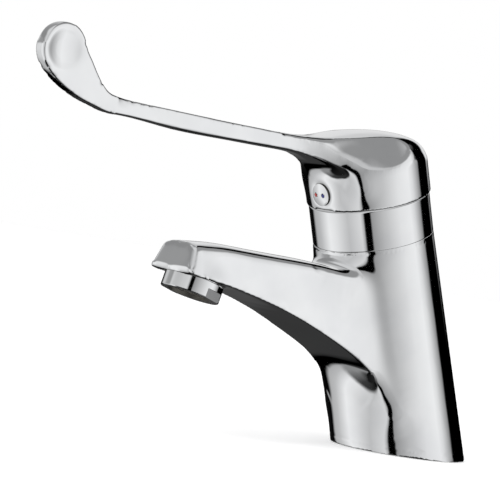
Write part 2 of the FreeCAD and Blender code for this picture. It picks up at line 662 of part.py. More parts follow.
def smooth(points, start_way, end_way):
    curve = Part.BSplineCurve()
    curve.interpolate(Points=points, InitialTangent=start_way, FinalTangent=end_way)
    return curve.toShape()


def lever():
    """Cap, arm and paddle in one casting, hollow under the cap with a square socket."""
    shape = cap_and_arm().fuse(paddle())
    hollow = rod(CAP_R - CAP_WALL, CAP_FROM - 1, CAP_HOLLOW_TO)
    hub = rod(HUB_R, CAP_FROM - HUB_DROP, CAP_HOLLOW_TO + 1)
    shape = shape.cut(lean(hollow)).fuse(lean(hub))
    socket = SPINDLE_SQUARE + 2 * FIT_GAP
    shape = shape.cut(lean(block(socket, socket, CAP_FROM - HUB_DROP - 1, CAP_HOLLOW_TO - 1)))
    shape = shape.cut(lean(across(SCREW_R, 0, CAP_R + 5)))
    shape = shape.cut(lean(across(BUTTON_STEM_R + RUNNING, HUB_R + 4, CAP_R + 5)))
    return shape.cut(lean(across(BUTTON_R + RUNNING, CAP_R - 1.2, CAP_R + 5)))


def across(radius, near, far, x=0.0):
    """A rod square to the leaning axis, towards the user, at the index button's height."""
    return Part.makeCylinder(radius, far - near, Vector(x, -near, BUTTON_AT), Vector(0, -1, 0))


def lever_screw():
    """Grub screw through the hub onto the spindle's flat, behind the index button."""
    near = SPINDLE_SQUARE / 2
    screw = across(SCREW_R - RUNNING, near, HUB_R + 1.5)
    reach = SCREW_HEX / 2 / math.cos(math.pi / 6)
    middle = Vector(0, 0, BUTTON_AT)
    socket = Part.makePolygon([hexagon_point(middle, reach, k) for k in range(7)])
    cut = Part.Face(socket).extrude(Vector(0, -SCREW_HEX_DEPTH - 1, 0))
    cut.translate(Vector(0, -(HUB_R + 1.5 - SCREW_HEX_DEPTH), 0))
    return lean(screw.cut(cut))


def index_button():
    """Domed plug over the lever screw, with two seats for the colour dots."""
    face = CAP_R + BUTTON_STANDS_OUT
    back = CAP_R - 1.2
    button = across(BUTTON_R, back, face)
    dome_r = 16.0
    dome = Part.makeSphere(dome_r, Vector(0, -(face - dome_r), BUTTON_AT))
    button = button.common(dome)
    stem = across(BUTTON_STEM_R, back - BUTTON_STEM_LENGTH, back)
    button = button.fuse(stem).removeSplitter()
    for side in (-1, 1):
        button = button.cut(across(DOT_R, dot_seat(), face + 1, side * DOT_HALF_SPACING))
    return lean(button)


def dot_seat():
    return CAP_R + BUTTON_STANDS_OUT - 0.2 - DOT_THICK


def index_dot(side):
    seat = dot_seat()
    return lean(across(DOT_R - 0.02, seat, seat + DOT_THICK, side * DOT_HALF_SPACING))


def inlet_filter(side):
    """A strainer: a flat rim with crossed bars."""
    rim = tube(VALVE_R, VALVE_R - 1.3, PORT_DEPTH, VALVE_FROM)
    bars = []
    for k in range(-2, 3):
        offset = k * 2.2
        length = 2 * math.sqrt(VALVE_R ** 2 - offset ** 2) - 1.6
        bars.append(block(length, FILTER_BAR, PORT_DEPTH + 0.8, PORT_DEPTH + 1.7, 0, offset))
        bars.append(block(FILTER_BAR, length, PORT_DEPTH + 0.8, PORT_DEPTH + 1.7, offset, 0))
    shape = rim.fuse(bars).removeSplitter()
    shape.translate(Vector(side * PORT_X, PORT_Y, 0))
    return shape


def check_valve_housing(side):
    x, y = side * PORT_X, PORT_Y
    inner = VALVE_R - VALVE_WALL
    top = VALVE_FROM + VALVE_LENGTH
    shape = tube(VALVE_R, inner, VALVE_FROM, top, x, y)
    seat = tube(VALVE_R - 0.5, VALVE_SEAT_R, VALVE_FROM, VALVE_FROM + VALVE_SEAT_THICK, x, y)
    low = VALVE_FROM + GUIDE_AT
    hub = rod(STEM_R + 1.1, low, low + GUIDE_THICK, x, y)
    bar = block(2 * inner + 1, 1.6, low, low + GUIDE_THICK, x, y)
    shape = shape.fuse([seat, hub, bar]).removeSplitter()
    return shape.cut(rod(STEM_R + RUNNING, low - 1, low + GUIDE_THICK + 1, x, y))


def check_valve_poppet(side):
    x, y = side * PORT_X, PORT_Y
    low = VALVE_FROM + VALVE_SEAT_THICK + 0.02
    head = Part.makeCone(POPPET_R, POPPET_R - 1.2, POPPET_HEAD, Vector(x, y, low), UP)
    return head.fuse(rod(STEM_R, low + 0.5, low + POPPET_HEAD + STEM_LENGTH, x, y)).removeSplitter()


def check_valve_spring(side):
    low = VALVE_FROM + VALVE_SEAT_THICK + 0.02 + POPPET_HEAD
    return coil(VALVE_SPRING_R, VALVE_SPRING_WIRE / 2, VALVE_SPRING_TURNS,
                low, VALVE_FROM + GUIDE_AT, side * PORT_X, PORT_Y)


def aerator_housing():
    """Chromed collar with two spanner flats below a threaded neck."""
    top = AERATOR_COLLAR + AERATOR_THREAD_LENGTH
    shape = rod(AERATOR_R, 0, AERATOR_COLLAR).fuse(rod(AERATOR_THREAD_R, 0, top)).removeSplitter()
    for side in (-1, 1):
        flat = block(6, 40, -1, AERATOR_FLAT_HEIGHT, side * (AERATOR_FLATS / 2 + 3), 0)
        flat.rotate(ORIGIN, UP, AERATOR_FLAT_TURN)
        shape = shape.cut(flat)
    shape = shape.cut(rod(AERATOR_LIP_R, -1, top + 1))
    shape = shape.cut(rod(AERATOR_BORE_R, AERATOR_LIP, top + 1))
    return aerator_frame(shape)


def aerator_cage():
    """Plastic insert: a cup whose floor is a grid that straightens the stream."""
    outer = AERATOR_BORE_R - RUNNING
    low, high = AERATOR_LIP + SCREEN_THICK, AERATOR_LIP + SCREEN_THICK + CAGE_HEIGHT
    cup = tube(outer, outer - CAGE_WALL, low, high)
    bars = []
    for k in range(-3, 4):
        offset = k * 2.5
        length = 2 * math.sqrt(outer ** 2 - offset ** 2) - 1.2
        bars.append(block(length, CAGE_BAR, low, low + 2, 0, offset))
        bars.append(block(CAGE_BAR, length, low, low + 2, offset, 0))
    return aerator_frame(cup.fuse(bars).removeSplitter())


def aerator_screen():
    """Fine mesh disc under the cage, drawn as a thin perforated plate."""
    disc = rod(AERATOR_BORE_R - RUNNING, AERATOR_LIP, AERATOR_LIP + SCREEN_THICK)
    holes = []
    for i in range(-3, 4):
        for j in range(-3, 4):
            if i * i + j * j < 11:
                holes.append(block(1.5, 1.5, 0, 5, i * 2.5 + 1.25, j * 2.5 + 1.25))
    return aerator_frame(disc.cut(Part.makeCompound(holes)))


def aerator_gasket():
    low = AERATOR_COLLAR + AERATOR_THREAD_LENGTH
    return aerator_frame(tube(AERATOR_THREAD_R, AERATOR_THREAD_R - 3.0, low, low + GASKET_THICK))


PIECES = {
    "body_with_spout": body_casting,
    "base_seal": base_seal,
    "trim_ring": trim_ring,
    "cartridge_nut": cartridge_nut,
    "cartridge_housing": cartridge_housing,
    "cartridge_housing_seal": housing_seal,
    "cartridge_plate": cartridge_plate,
    "inlet_seals": inlet_seals,
    "fixed_ceramic_disc": fixed_disc,
    "moving_ceramic_disc": moving_disc,
    "disc_carrier": disc_carrier,
    "spindle": spindle,
    "spindle_seal": spindle_seal,
    "temperature_stop": temperature_stop,
    "regulating_nut": regulating_nut,
    "wax_element": wax_element,
    "shuttle": shuttle,
    "return_spring": return_spring,
    "lever": lever,
    "lever_screw": lever_screw,
    "index_button": index_button,
    "aerator_housing": aerator_housing,
    "aerator_cage": aerator_cage,
    "aerator_screen": aerator_screen,
    "aerator_gasket": aerator_gasket,
}
PAIRED = {
    "filter": inlet_filter,
    "check_valve_housing": check_valve_housing,
    "check_valve_poppet": check_valve_poppet,
    "check_valve_spring": check_valve_spring,
    "index_dot": index_dot,
}
SIDES = {"hot": -1, "cold": 1}

os.makedirs("parts", exist_ok=True)
for node, make in PIECES.items():
    make().exportStep("parts/" + node + ".step")
for water, side in SIDES.items():
    for node, make in PAIRED.items():
        make(side).exportStep("parts/" + water + "_" + node + ".step")
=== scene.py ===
import bmesh
import bpy
import json
from math import cos, hypot, radians, sin
from mathutils import Matrix, Vector
from mathutils.bvhtree import BVHTree
from mathutils.kdtree import KDTree

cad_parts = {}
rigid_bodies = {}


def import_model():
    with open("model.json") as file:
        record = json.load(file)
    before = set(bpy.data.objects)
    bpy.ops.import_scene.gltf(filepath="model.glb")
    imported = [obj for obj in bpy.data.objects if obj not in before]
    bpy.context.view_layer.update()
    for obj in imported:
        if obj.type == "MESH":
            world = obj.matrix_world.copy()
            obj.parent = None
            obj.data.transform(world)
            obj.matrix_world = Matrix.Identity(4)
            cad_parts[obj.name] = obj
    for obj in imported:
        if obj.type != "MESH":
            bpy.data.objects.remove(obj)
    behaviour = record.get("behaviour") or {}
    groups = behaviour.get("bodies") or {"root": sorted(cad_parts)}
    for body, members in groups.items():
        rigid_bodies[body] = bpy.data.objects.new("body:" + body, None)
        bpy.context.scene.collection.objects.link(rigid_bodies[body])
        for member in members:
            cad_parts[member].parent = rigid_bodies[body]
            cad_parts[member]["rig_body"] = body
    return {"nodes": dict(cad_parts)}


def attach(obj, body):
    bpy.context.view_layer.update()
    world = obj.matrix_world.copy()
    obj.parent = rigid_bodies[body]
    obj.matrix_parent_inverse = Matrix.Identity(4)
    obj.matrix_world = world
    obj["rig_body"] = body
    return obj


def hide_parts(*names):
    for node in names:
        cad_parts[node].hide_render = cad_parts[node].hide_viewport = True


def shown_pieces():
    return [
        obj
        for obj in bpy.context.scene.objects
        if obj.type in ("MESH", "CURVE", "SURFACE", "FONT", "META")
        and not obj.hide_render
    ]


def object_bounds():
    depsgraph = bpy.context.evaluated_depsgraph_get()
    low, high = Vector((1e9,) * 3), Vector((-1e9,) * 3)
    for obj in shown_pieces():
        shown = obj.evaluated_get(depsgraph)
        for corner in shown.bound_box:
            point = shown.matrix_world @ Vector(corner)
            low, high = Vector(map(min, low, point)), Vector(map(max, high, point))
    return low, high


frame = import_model()
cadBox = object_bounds()
nodes = frame["nodes"]
print("frame loaded")


# small helpers for node trees
def nodeTree(material):
    material.use_nodes = True
    tree = material.node_tree
    tree.nodes.clear()
    return tree


def addNode(tree, kind, **inputs):
    node = tree.nodes.new(kind)
    for name, value in inputs.items():
        node.inputs[name].default_value = value
    return node


def higherOf(tree, first, second):
    node = tree.nodes.new("ShaderNodeMath")
    node.operation = "MAXIMUM"
    tree.links.new(first, node.inputs[0])
    tree.links.new(second, node.inputs[1])
    return node.outputs["Value"]


def greyRamp(tree, source, stops):
    node = tree.nodes.new("ShaderNodeValToRGB")
    elements = node.color_ramp.elements
    elements.remove(elements[-1])
    for index, (position, grey) in enumerate(stops):
        element = elements[0] if index == 0 else elements.new(position)
        element.position = position
        element.color = (grey, grey, grey, 1)
    tree.links.new(source, node.inputs["Fac"])
    return node.outputs["Color"]


def mapRange(tree, source, low, high, toLow, toHigh, smooth=False):
    node = tree.nodes.new("ShaderNodeMapRange")
    if smooth:
        node.interpolation_type = "SMOOTHSTEP"
    sockets = ("From Min", "From Max", "To Min", "To Max")
    for name, value in zip(sockets, (low, high, toLow, toHigh)):
        node.inputs[name].default_value = value
    tree.links.new(source, node.inputs["Value"])
    return node.outputs["Result"]


def mixColours(tree, factor, first, second):
    node = tree.nodes.new("ShaderNodeMix")
    node.data_type = "RGBA"
    tree.links.new(factor, node.inputs["Factor"])
    for socket, value in ((node.inputs[6], first), (node.inputs[7], second)):
        if isinstance(value, tuple):
            socket.default_value = (*value, 1)
        else:
            tree.links.new(value, socket)
    return node.outputs[2]


def noise(tree, coordinates, scale, detail=3.0):
    node = addNode(tree, "ShaderNodeTexNoise", Scale=scale, Detail=detail)
    tree.links.new(coordinates, node.inputs["Vector"])
    return node.outputs["Fac"]


def turnedAboutZ(tree, coordinates, degrees):
    node = addNode(tree, "ShaderNodeMapping", Rotation=(0, 0, radians(degrees)))
    tree.links.new(coordinates, node.inputs["Vector"])
    return node.outputs["Vector"]


def addRelief(tree, shader, height, strength, distance):
    bump = addNode(tree, "ShaderNodeBump", Strength=strength, Distance=distance)
    tree.links.new(height, bump.inputs["Height"])
    tree.links.new(bump.outputs["Normal"], shader.inputs["Normal"])


def showSurface(tree, surface, kind="ShaderNodeOutputMaterial"):
    output = tree.nodes.new(kind)
    tree.links.new(surface, output.inputs["Surface"])


# finishes: colour and its clouded tint, how the gloss varies, and the fine relief in metres
finishes = {
    "chrome": dict(colour=(0.83, 0.84, 0.85), tint=(0.78, 0.79, 0.805), metallic=1.0,
                   gloss=(0.035, 0.07), cloud=45, relief=0.00001, grainScale=260),
    "brass": dict(colour=(0.75, 0.56, 0.27), tint=(0.60, 0.42, 0.18), metallic=1.0,
                  gloss=(0.22, 0.38), cloud=90, relief=0.00003, grainScale=900),
    "steel": dict(colour=(0.60, 0.60, 0.61), tint=(0.45, 0.44, 0.43), metallic=1.0,
                  gloss=(0.22, 0.40), cloud=140, relief=0.00002, grainScale=1200),
    # painted shade: the next finish is a dark metal put on bore walls and on a gap's sides in
    # place of the shade that falls there
    "paintedShade": dict(colour=(0.10, 0.095, 0.085), tint=(0.05, 0.047, 0.042), metallic=0.6,
                     gloss=(0.35, 0.5), cloud=300, relief=0.00003, grainScale=1500),
    "rubber": dict(colour=(0.022, 0.022, 0.024), tint=(0.045, 0.044, 0.042), metallic=0.0,
                   gloss=(0.55, 0.75), cloud=220, relief=0.00004, grainScale=1500),
    "ceramic": dict(colour=(0.86, 0.84, 0.79), tint=(0.78, 0.75, 0.69), metallic=0.0,
                    gloss=(0.12, 0.22), cloud=160, relief=0.00001, grainScale=900),
    "greyPlastic": dict(colour=(0.26, 0.27, 0.28), tint=(0.20, 0.205, 0.21), metallic=0.0,
                        gloss=(0.38, 0.52), cloud=180, relief=0.00003, grainScale=1400),
    "whitePlastic": dict(colour=(0.80, 0.80, 0.78), tint=(0.72, 0.71, 0.68), metallic=0.0,
                         gloss=(0.34, 0.48), cloud=180, relief=0.00003, grainScale=1400),
    "redPlastic": dict(colour=(0.62, 0.045, 0.035), tint=(0.50, 0.03, 0.025), metallic=0.0,
                       gloss=(0.30, 0.45), cloud=180, relief=0.00003, grainScale=1400),
    "hotEnamel": dict(colour=(0.52, 0.05, 0.04), tint=(0.42, 0.035, 0.03), metallic=0.0,
                      gloss=(0.12, 0.22), cloud=700, relief=0.00001, grainScale=2500),
    "coldEnamel": dict(colour=(0.02, 0.03, 0.24), tint=(0.015, 0.022, 0.18), metallic=0.0,
                       gloss=(0.12, 0.22), cloud=700, relief=0.00001, grainScale=2500),
}
# between which noise values the tint and the gloss change, and how the grain is drawn
finishDetail = dict(tintFrom=0.35, tintTo=0.7, glossFrom=0.3, glossTo=0.7, grainDetail=2.0,
                    grainStrength=0.35)


def makeFinish(name):
    look, detail = finishes[name], finishDetail
    material = bpy.data.materials.new(name)
    tree = nodeTree(material)
    place = tree.nodes.new("ShaderNodeTexCoord").outputs["Object"]
    cloud = noise(tree, place, look["cloud"])
    shader = addNode(tree, "ShaderNodeBsdfPrincipled", Metallic=look["metallic"])
    tinted = mapRange(tree, cloud, detail["tintFrom"], detail["tintTo"], 0, 1, True)
    tree.links.new(mixColours(tree, tinted, look["colour"], look["tint"]),
                   shader.inputs["Base Color"])
    tree.links.new(mapRange(tree, cloud, detail["glossFrom"], detail["glossTo"], *look["gloss"]),
                   shader.inputs["Roughness"])
    grain = noise(tree, place, look["grainScale"], detail["grainDetail"])
    addRelief(tree, shader, grain, detail["grainStrength"], look["relief"])
    showSurface(tree, shader.outputs["BSDF"])
    return material


# pitch in metres; one wave of the wave texture is 0.314 divided by its scale
weave = dict(pitch=0.0006, oneWave=0.314, turn=14, thread=(0.33, 0.30, 0.26),
             gap=(0.012, 0.011, 0.010), gapEnds=0.62, threadStarts=0.9, metallic=0.7,
             gloss=(0.3, 0.5), cloud=300, relief=0.0001, reliefStrength=0.6)


def makeWeave():
    # two sets of wires across each other, with dark gaps between them
    material = bpy.data.materials.new("wovenSteel")
    tree = nodeTree(material)
    place = tree.nodes.new("ShaderNodeTexCoord").outputs["Object"]
    turned = turnedAboutZ(tree, place, weave["turn"])
    wires = []
    for direction in ("X", "Y"):
        wave = addNode(tree, "ShaderNodeTexWave", Scale=weave["oneWave"] / weave["pitch"])
        wave.bands_direction = direction
        tree.links.new(turned, wave.inputs["Vector"])
        wires.append(wave.outputs["Fac"])
    height = higherOf(tree, *wires)
    shader = addNode(tree, "ShaderNodeBsdfPrincipled", Metallic=weave["metallic"])
    cover = mapRange(tree, height, weave["gapEnds"], weave["threadStarts"], 0, 1, True)
    tree.links.new(mixColours(tree, cover, weave["gap"], weave["thread"]),
                   shader.inputs["Base Color"])
    tree.links.new(mapRange(tree, noise(tree, place, weave["cloud"]), finishDetail["glossFrom"],
                            finishDetail["glossTo"], *weave["gloss"]),
                   shader.inputs["Roughness"])
    addRelief(tree, shader, height, weave["reliefStrength"], weave["relief"])
    showSurface(tree, shader.outputs["BSDF"])
    return material


finish = {name: makeFinish(name) for name in finishes}
finish["wovenSteel"] = makeWeave()
print("finishes made")


# helpers for meshes and pieces
def mergedSolid(node):
    bm = bmesh.new()
    bm.from_mesh(nodes[node].data)
    bmesh.ops.remove_doubles(bm, verts=bm.verts, dist=1e-6)
    return bm


def meshFrom(bm, name):
    mesh = bpy.data.meshes.new(name)
    bm.to_mesh(mesh)
    bm.free()
    return mesh


def roughObject(mesh):
    rough = bpy.data.objects.new("rough", mesh)
    bpy.context.collection.objects.link(rough)
    return rough


def shapedMesh(rough):
    # the mesh that the rough object's modifiers give
    shaped = rough.evaluated_get(bpy.context.evaluated_depsgraph_get())
    mesh = bpy.data.meshes.new_from_object(shaped)
    bpy.data.objects.remove(rough)
    return mesh


def pointTree(points):
    tree = KDTree(len(points))
    for index, point in enumerate(points):
        tree.insert(point, index)
    tree.balance()
    return tree


def evenOut(bm, verts, passes):
    for _ in range(passes):
        bmesh.ops.smooth_vert(bm, verts=verts, factor=0.5, use_axis_x=True, use_axis_y=True,
                              use_axis_z=True)


def spun(profile, steps, closed=True):
    # a profile of radius and height, spun once round the upright axis
    bm = bmesh.new()
    verts = [bm.verts.new((r, 0, z)) for r, z in profile]
    nextVerts = verts[1:] + verts[:1] if closed else verts[1:]
    edges = [bm.edges.new(pair) for pair in zip(verts, nextVerts)]
    bmesh.ops.spin(bm, geom=verts + edges, cent=(0, 0, 0), axis=(0, 0, 1), angle=radians(360),
                   steps=steps, use_merge=True)
    if not closed:
        bmesh.ops.remove_doubles(bm, verts=bm.verts, dist=1e-7)  # closes the poles
    bmesh.ops.recalc_face_normals(bm, faces=bm.faces)
    return bm


def finishPiece(mesh, name, node, finishName, sharpAngle):
    mesh.name = name
    mesh.materials.clear()
    mesh.materials.append(finish[finishName])
    mesh.shade_smooth()
    mesh.set_sharp_from_angle(angle=radians(sharpAngle))
    piece = bpy.data.objects.new(name, mesh)
    bpy.context.collection.objects.link(piece)
    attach(piece, nodes[node]["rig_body"])
    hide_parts(node)
    return piece


# painted shade: the given faces get the dark finish in place of the shade that would fall on
# them
def paintShadeOnFaces(piece, faces):
    piece.data.materials.append(finish["paintedShade"])
    for face in faces:
        piece.data.polygons[face].material_index = 1


# the mixer's leaning axis, and the way across it towards the back
leaning = radians(21.0)
axisUp = Vector((0, -sin(leaning), cos(leaning)))
axisAcross = Vector((0, cos(leaning), sin(leaning)))


def alongAxis(point):
    # height along the leaning axis, way across it, and distance from it
    across = point.dot(axisAcross)
    return point.dot(axisUp), across, hypot(point.x, across)


def offAxis(x, across, at, scale):
    return Vector((x * scale, 0, 0)) + axisAcross * across * scale + axisUp * at


def wallRadius(wall, at):
    # the turned wall tapers evenly between two heights
    (lowAt, lowR), (highAt, highR) = wall
    return lowR + (highR - lowR) * (at - lowAt) / (highAt - lowAt)


# Body and lever: dense, evenly meshed copies of the CAD solids, in metres.
# round is the wall's radius at two heights, eased says where and how widely hollow corners are
# filled, and soft says where the outer creases are rounded.
skins = {
    "body_with_spout": dict(
        name="polished_body_and_spout", slot="chrome", voxel=0.00068, edgePasses=6,
        edgeReach=0.0011, passes=14, lastPasses=6,
        round=((-0.02, 0.0305556), (0.1018, 0.0271722)),
        base=dict(height=0.003, reach=0.0013, beyond=0.0006, inBox=0.0001),
        top=dict(band=0.002, height=0.0012, reach=0.0013, beyond=0.0006, level=0.00035),
        inside=dict(bores=0.0245, front=-0.045, halfWidth=0.012, lift=0.0003, reach=0.024,
                    triangles=192000),
        eased=dict(outside=0.0255, front=-0.078, back=-0.012, low=0.002, high=0.095, wide=0.015,
                   narrow=0.007, tight=0.009, melt=0.005, meltPasses=40),
        soft=dict(front=-0.075, back=-0.015, aside=0.008, low=0.001, high=0.034, rim=0.0,
                  reach=0.003, passes=40)),
    "lever": dict(
        name="polished_lever", slot="chrome_cap", voxel=0.0005, edgePasses=6,
        edgeReach=0.0010, passes=14, lastPasses=6,
        round=((0.1216, 0.02785), (0.1606, 0.02785)),
        eased=dict(outside=0.0262, front=-0.100, back=-0.012, low=0.104, high=0.134, wide=0.009,
                   narrow=0.010, tight=0.007, melt=0.0045, meltPasses=50),
        soft=dict(front=-0.092, back=-0.030, aside=0.008, low=0.108, high=0.1345, rim=0.1240,
                  reach=0.0025, passes=24),
        keepClear=dict(centre=Vector((0, -0.0728, 0.1100)), inner=0.0058, outer=0.0090)),
}
# angles in degrees and lengths in metres, for both skins
crease = dict(angle=24, spacing=0.0004, smoothBelow=60)
trueWall = dict(band=0.0003, above=0.004)
cornerFill = dict(leastAngle=7, spacing=0.0005, around=0.004, wideBelow=20, angleSpan=35,
                  tightBelow=0.45, asideSpan=0.25, facing=0.2)


def rising(value, start, span):
    return min(1, max(0, (value - start) / span))


def isSoft(point, soft):
    return (soft["front"] < point.y < soft["back"] and abs(point.x) > soft["aside"]
            and soft["low"] < point.z < soft["high"] and point.dot(axisUp) > soft["rim"])


def sharpEdgePoints(bm, soft):
    # points along the sharp edges, those that stay crisp apart from those that are rounded
    crisp, rounded = [], []
    for edge in bm.edges:
        if len(edge.link_faces) == 2 and edge.calc_face_angle(0.0) > radians(crease["angle"]):
            start, end = edge.verts[0].co, edge.verts[1].co
            count = max(1, int((end - start).length / crease["spacing"]))
            points = rounded if isSoft(start, soft) else crisp
            points += [start.lerp(end, k / count) for k in range(count + 1)]
    return pointTree(crisp), pointTree(rounded)


def hollowCorners(bm, eased):
    # samples along the hollow corners of the outside: place, way out and angle
    samples = []
    for edge in bm.edges:
        if len(edge.link_faces) != 2:
            continue
        start, end = edge.verts[0].co, edge.verts[1].co
        middle = (start + end) / 2
        angle = -edge.calc_face_angle_signed(0.0)
        if (angle > radians(cornerFill["leastAngle"])
                and hypot(middle.x, middle.dot(axisAcross)) > eased["outside"]
                and eased["front"] < middle.y < eased["back"]
                and eased["low"] < middle.z < eased["high"]):
            out = (edge.link_faces[0].normal + edge.link_faces[1].normal).normalized()
            count = max(1, int(edge.calc_length() / cornerFill["spacing"]))
            samples += [(start.lerp(end, (k + 0.5) / count), out, angle) for k in range(count)]
    return samples


def easeCorners(bm, samples, eased, keepClear):
    # fills each hollow corner with a long soft curve that meets both faces without a crease
    tree = pointTree([place for place, _, _ in samples])
    moves = []
    for vert in bm.verts:
        nearest, _, reach = tree.find(vert.co)
        if reach > eased["wide"]:
            continue
        near = [samples[index] for _, index, _ in tree.find_range(nearest, cornerFill["around"])]
        angle = sum(sample[2] for sample in near) / len(near)
        out = sum((sample[1] for sample in near), Vector()).normalized()
        share = rising(angle, radians(cornerFill["wideBelow"]), radians(cornerFill["angleSpan"]))
        width = eased["wide"] + (eased["narrow"] - eased["wide"]) * share
        aside = rising(abs(out.x), cornerFill["tightBelow"], cornerFill["asideSpan"])
        width = eased["tight"] + (width - eased["tight"]) * aside
        if reach < width and vert.normal.dot(out) > cornerFill["facing"]:
            rise = sin(angle) * (width - reach) ** 2 / (4 * width)
            if keepClear:
                rise *= rising((vert.co - keepClear["centre"]).length, keepClear["inner"],
                               keepClear["outer"] - keepClear["inner"])
            moves.append((vert, out * rise))
    for vert, move in moves:
        vert.co += move
    evenOut(bm, [vert for vert in bm.verts if tree.find(vert.co)[2] < eased["melt"]],
            eased["meltPasses"])


def voxelMesh(bm, voxel):
    mesh = bpy.data.meshes.new("solid")
    bm.to_mesh(mesh)
    rough = roughObject(mesh)
    remesh = rough.modifiers.new("even", "REMESH")
    remesh.mode = "VOXEL"
    remesh.voxel_size = voxel
    return shapedMesh(rough)


def trueRound(bm, wall):
    # vertices that lie nearly on the turned wall go exactly onto it
    for vert in bm.verts:
        at, across, r = alongAxis(vert.co)
        goal = wallRadius(wall, at)
        off = abs(r - goal)
        if (wall[0][0] < at < wall[1][0] and vert.co.z > trueWall["above"]
                and off < trueWall["band"]):
            share = 1 - (off / trueWall["band"]) ** 2
            vert.co = offAxis(vert.co.x, across, at, 1 + share * (goal / r - 1))


def crispBase(bm, wall, look):
    # the base's edge goes back out onto the wall after the smoothing, inside the CAD's box
    for vert in bm.verts:
        at, across, r = alongAxis(vert.co)
        goal = wallRadius(wall, at)
        if vert.co.z < look["height"] and goal - look["reach"] < r < goal + look["beyond"]:
            moved = offAxis(vert.co.x, across, at, goal / r)
            vert.co.x = max(cadBox[0][0], min(moved.x, cadBox[1][0]))
            vert.co.y = min(moved.y, cadBox[1][1] - look["inBox"])
        vert.co.z = max(vert.co.z, cadBox[0][2])


def crispTop(bm, wall, look):
    # the same at the top of the turned wall, where the edge is made level too
    near = []
    for vert in bm.verts:
        at, across, r = alongAxis(vert.co)
        goal = wallRadius(wall, at)
        if at > wall[1][0] - look["band"] and goal - look["reach"] < r < goal + look["beyond"]:
            near.append((vert, at, across, goal / r))
    top = max(at for _, at, _, _ in near)
    for vert, at, across, scale in near:
        if at > top - look["height"]:
            level = top if at > top - look["level"] else at
            vert.co = offAxis(vert.co.x, across, level, scale)


def lighterInside(bm, mesh, inside):
    # the drilled ways inside keep far fewer faces than the polished outside
    bm.normal_update()
    tree = BVHTree.FromBMesh(bm)
    hidden = []
    for vert in bm.verts:
        if hypot(vert.co.x, vert.co.dot(axisAcross)) < inside["bores"]:
            hidden.append(vert.index)
        elif vert.co.y < inside["front"] and abs(vert.co.x) < inside["halfWidth"]:
            # in the spout's channel there is a wall across the way
            start = vert.co + vert.normal * inside["lift"]
            if tree.ray_cast(start, vert.normal, inside["reach"])[0] is not None:
                hidden.append(vert.index)
    bm.to_mesh(mesh)
    rough = roughObject(mesh)
    rough.vertex_groups.new(name="inside").add(hidden, 1.0, "REPLACE")
    fewer = rough.modifiers.new("fewer", "DECIMATE")
    fewer.vertex_group = "inside"
    fewer.ratio = inside["triangles"] / (2 * len(mesh.polygons))
    return shapedMesh(rough)


def polishedSkin(node):
    skin = skins[node]
    bm = mergedSolid(node)
    crisp, rounded = sharpEdgePoints(bm, skin["soft"])
    samples = hollowCorners(bm, skin["eased"])
    mesh = voxelMesh(bm, skin["voxel"])
    bm.clear()
    bm.from_mesh(mesh)
    away = [vert for vert in bm.verts if crisp.find(vert.co)[2] > skin["edgeReach"]]
    evenOut(bm, bm.verts[:], skin["edgePasses"])
    evenOut(bm, away, skin["passes"])
    trueRound(bm, skin["round"])
    bm.normal_update()
    easeCorners(bm, samples, skin["eased"], skin.get("keepClear"))
    evenOut(bm, away, skin["lastPasses"])
    evenOut(bm, [vert for vert in bm.verts
                 if rounded.find(vert.co)[2] < skin["soft"]["reach"]], skin["soft"]["passes"])
    if "base" in skin:
        crispBase(bm, skin["round"], skin["base"])
        crispTop(bm, skin["round"], skin["top"])
    if "inside" in skin:
        mesh = lighterInside(bm, mesh, skin["inside"])
    else:
        bm.to_mesh(mesh)
    bm.free()
    mesh.calc_loop_triangles()
    print(skin["name"], len(mesh.loop_triangles), "triangles")
    finishPiece(mesh, skin["name"], node, "chrome", crease["smoothBelow"])


# heights along the leaning axis; the edge is rounded a little, with loops to hold it
trimRing = dict(low=0.1026, high=0.1207, outer=0.02715, wall=0.0026, lip=0.0020,
                lipInner=0.0211, edge=0.0003, edgeBulge=0.3, steps=240, sharpAngle=50)


def makeTrimRing():
    look = trimRing
    low, high, outer, edge = look["low"], look["high"], look["outer"], look["edge"]
    inner, lipTop, bulge = outer - look["wall"], low + look["lip"], look["edgeBulge"] * edge
    profile = [(look["lipInner"], low), (outer - edge, low), (outer - bulge, low + bulge),
               (outer, low + edge), (outer, low + 2 * edge), (outer, high - 2 * edge),
               (outer, high - edge), (outer - bulge, high - bulge), (outer - edge, high),
               (inner, high), (inner, lipTop), (look["lipInner"], lipTop)]
    bm = spun(profile, look["steps"])
    bmesh.ops.transform(bm, matrix=Matrix.Rotation(leaning, 4, "X"), verts=bm.verts)
    finishPiece(meshFrom(bm, "ring"), "polished_trim_ring", "trim_ring", "chrome",
                look["sharpAngle"])


# place is the middle of the collar's lower face; the blocks cut the two spanner flats
aeratorCollar = dict(place=(0, -0.1383, 0.0594), tilt=14, radius=0.013, height=0.007,
                     edge=0.0003, neck=0.0117, neckTop=0.013, bore=0.0103, lipInner=0.0096,
                     lip=0.0016, acrossFlats=0.024, flatHeight=0.004, flatTurn=14,
                     blockWidth=0.006, blockLength=0.04, blockBelow=0.001, steps=240,
                     sharpAngle=15, paintedShadeInside=0.0104, paintedShadeFacing=0.5)


def aeratorMatrix():
    return (Matrix.Translation(aeratorCollar["place"])
            @ Matrix.Rotation(radians(-aeratorCollar["tilt"]), 4, "X"))


def flatBlocks(look):
    bm = bmesh.new()
    width, below, flat = look["blockWidth"], look["blockBelow"], look["flatHeight"]
    for side in (-1, 1):
        block = bmesh.ops.create_cube(bm, size=1)["verts"]
        bmesh.ops.scale(bm, vec=(width, look["blockLength"], flat + below), verts=block)
        bmesh.ops.translate(bm, vec=(side * (look["acrossFlats"] / 2 + width / 2), 0,
                                     (flat - below) / 2), verts=block)
    bmesh.ops.rotate(bm, verts=bm.verts,
                     matrix=Matrix.Rotation(radians(look["flatTurn"]), 3, "Z"))
    return roughObject(meshFrom(bm, "blocks"))


